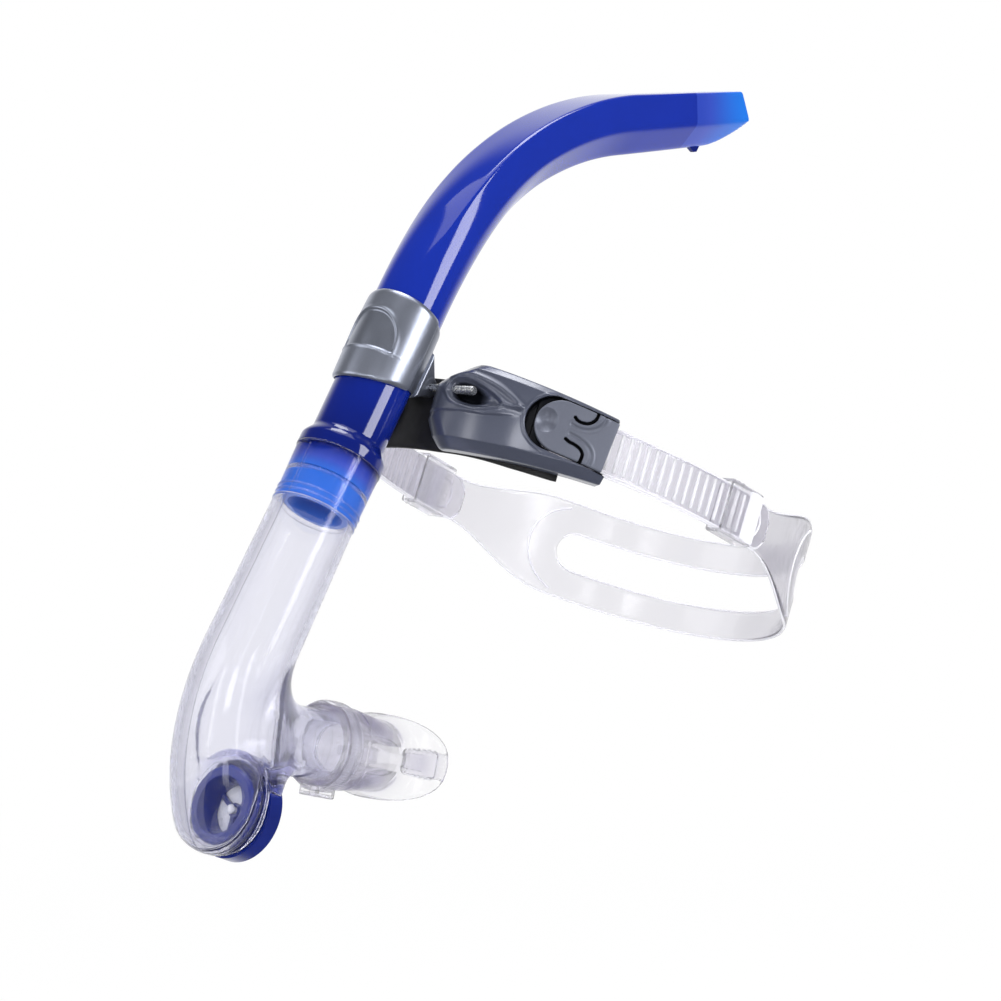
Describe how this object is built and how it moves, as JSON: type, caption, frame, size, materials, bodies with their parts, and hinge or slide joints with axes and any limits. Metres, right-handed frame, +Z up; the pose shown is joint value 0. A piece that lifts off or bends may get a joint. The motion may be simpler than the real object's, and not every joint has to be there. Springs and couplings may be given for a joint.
{
  "type": "centre-mount swim snorkel",
  "caption": "Front-mounted swim snorkel: faceted blue tube held in a tilting forehead bracket, clear lower chamber with purge valve and soft mouthpiece, ribbed head strap with release levers",
  "frame": {"origin": "middle of the forehead pad's face, where it meets the forehead", "axes": "+Z up, the wearer looks along -Y, +X is the wearer's left; the tube's mid-plane is X = 0"},
  "size_m": [0.1738, 0.3285, 0.2839],
  "materials": {
    "blue_plastic": "polished cobalt blue moulding",
    "clear_plastic": "clear rigid moulding with a faint lilac tint",
    "clear_silicone": "clear soft silicone",
    "silver_plastic": "satin silver-grey paint on plastic",
    "slate_plastic": "glossy slate grey moulding",
    "black_rubber": "matt black rubber",
    "steel": "bright stainless steel"
  },
  "bodies": {
    "head_band": {"left_wing": "slate_plastic", "right_wing": "slate_plastic", "left_strap_bar": "steel", "right_strap_bar": "steel", "forehead_pad": "black_rubber", "head_strap": "clear_silicone", "axle_pin": "steel"},
    "clamp": {"tube_clamp": "silver_plastic"},
    "tube": {"upper_tube": "blue_plastic", "joint_seal": "clear_silicone", "lower_body": "clear_plastic", "purge_seat": "blue_plastic", "purge_seal": "black_rubber", "purge_cap": "blue_plastic", "mouthpiece": "clear_silicone", "mouthpiece_tie": "clear_plastic"},
    "purge_flap": {"purge_membrane": "clear_silicone"},
    "left_lever": {"left_release_lever": "slate_plastic"},
    "right_lever": {"right_release_lever": "slate_plastic"},
    "left_keeper": {"left_strap_keeper": "clear_plastic"},
    "right_keeper": {"right_strap_keeper": "clear_plastic"}
  },
  "joints": [
    {"name": "tube_tilt", "type": "hinge", "parent": "head_band", "child": "clamp", "pos_m": [0, -0.0033, 0.00948], "axis": [1, 0, 0], "range_deg": [-20, 12]},
    {"name": "tube_slide", "type": "slide", "parent": "clamp", "child": "tube", "axis": [0, 0.5736, 0.8192], "range_m": [-0.003, 0.016]},
    {"name": "purge_lift", "type": "slide", "parent": "tube", "child": "purge_flap", "axis": [0, 0.9272, -0.3746], "range_m": [0, 0.0012], "stiffness_N_per_m": 20, "springref_m": -0.001},
    {"name": "left_lever_press", "type": "hinge", "parent": "head_band", "child": "left_lever", "pos_m": [0.06151, 0.01918, -0.00643], "axis": [-0.0561, -0.4814, -0.8747], "range_deg": [0, 4.5], "stiffness_Nm_per_rad": 0.12, "springref_deg": -5.16},
    {"name": "right_lever_press", "type": "hinge", "parent": "head_band", "child": "right_lever", "pos_m": [-0.06151, 0.01918, -0.00643], "axis": [-0.0561, 0.4814, 0.8747], "range_deg": [0, 4.5], "stiffness_Nm_per_rad": 0.12, "springref_deg": -5.16},
    {"name": "left_keeper_slide", "type": "slide", "parent": "head_band", "child": "left_keeper", "axis": [0.0327, 0.9058, -0.4224], "range_m": [-0.003, 0.003]},
    {"name": "right_keeper_slide", "type": "slide", "parent": "head_band", "child": "right_keeper", "axis": [-0.0327, 0.9058, -0.4224], "range_m": [-0.003, 0.003]}
  ]
}
